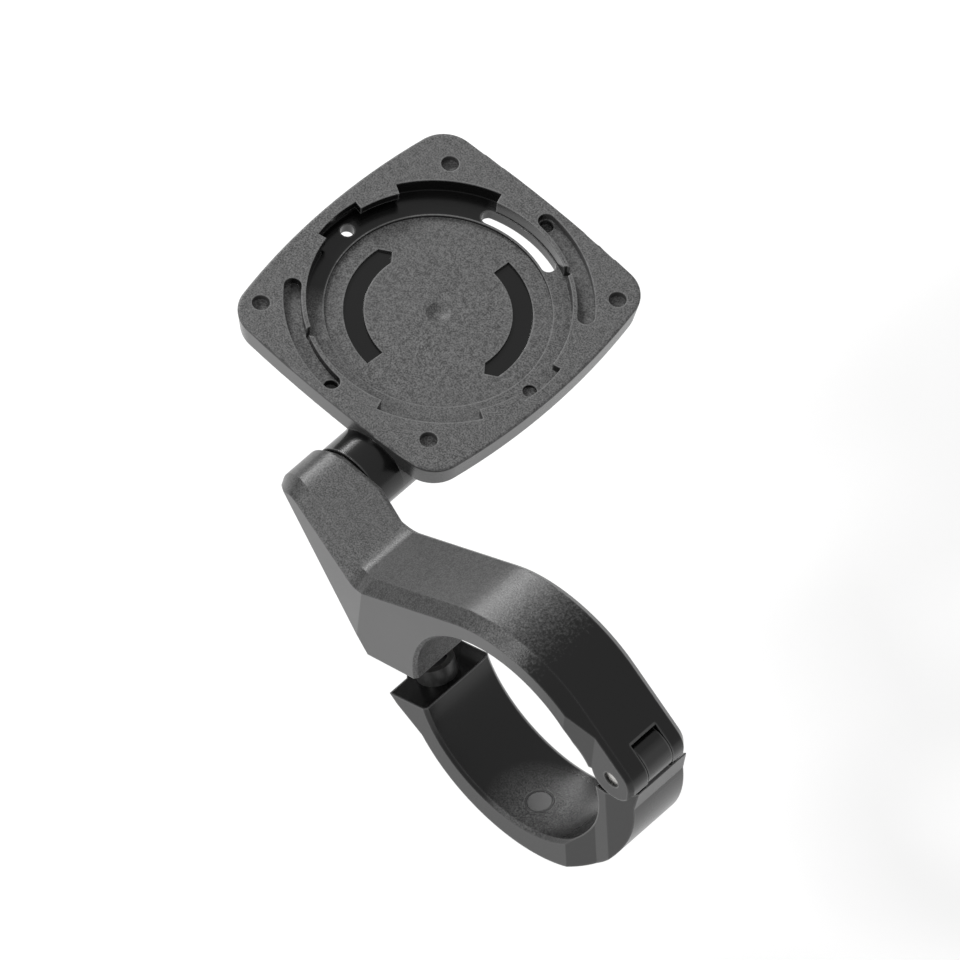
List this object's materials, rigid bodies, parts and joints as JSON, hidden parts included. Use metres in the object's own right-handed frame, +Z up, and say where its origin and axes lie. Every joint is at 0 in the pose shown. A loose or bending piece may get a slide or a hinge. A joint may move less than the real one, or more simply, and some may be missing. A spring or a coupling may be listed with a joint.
{
  "type": "bike computer mount",
  "caption": "Hinged handlebar clamp with an offset arm that carries a tilting square plate with a quarter-turn socket for a bike computer.",
  "frame": {"origin": "on the axis of the handlebar bore, at the middle of the clamp's width", "axes": "+X towards the hinge side and the rider, +Y along the handlebar towards the plate, +Z up, square to the plate's top"},
  "size_m": [0.0953, 0.065, 0.0429],
  "materials": {
    "moulded_plastic": "fine-grained moulded, charcoal black",
    "steel": "plain turned stainless steel",
    "dark_steel": "black-oxide steel",
    "brass": "turned brass",
    "washer_plastic": "smooth low-friction plastic"
  },
  "bodies": {
    "base": {"mount_arm": "moulded_plastic", "hinge_pin": "steel", "clamp_insert": "brass", "friction_washer": "washer_plastic", "tilt_nut": "steel"},
    "strap": {"clamp_strap": "moulded_plastic", "screw_collar": "washer_plastic", "screw_washer": "steel"},
    "clamp_screw": {"clamp_screw": "dark_steel"},
    "plate": {"socket_plate": "moulded_plastic"},
    "tilt_bolt": {"tilt_bolt": "dark_steel"}
  },
  "joints": [
    {"name": "strap_swing", "type": "hinge", "parent": "base", "child": "strap", "pos_m": [0.0186, 0, 0.0073], "axis": [0, -1, 0], "range_deg": [-7.5, 80]},
    {"name": "clamp_screw_turn", "type": "hinge", "parent": "strap", "child": "clamp_screw", "pos_m": [-0.01698, 0, -0.01075], "axis": [-0.3955, 0, 0.9184], "continuous": true},
    {"name": "plate_tilt", "type": "hinge", "parent": "base", "child": "plate", "pos_m": [-0.0427, 0.0154, -0.0008], "axis": [0, 1, 0], "range_deg": [-45, 60]},
    {"name": "tilt_bolt_turn", "type": "hinge", "parent": "base", "child": "tilt_bolt", "pos_m": [-0.0427, 0.0154, -0.0008], "axis": [0, 1, 0], "continuous": true}
  ]
}
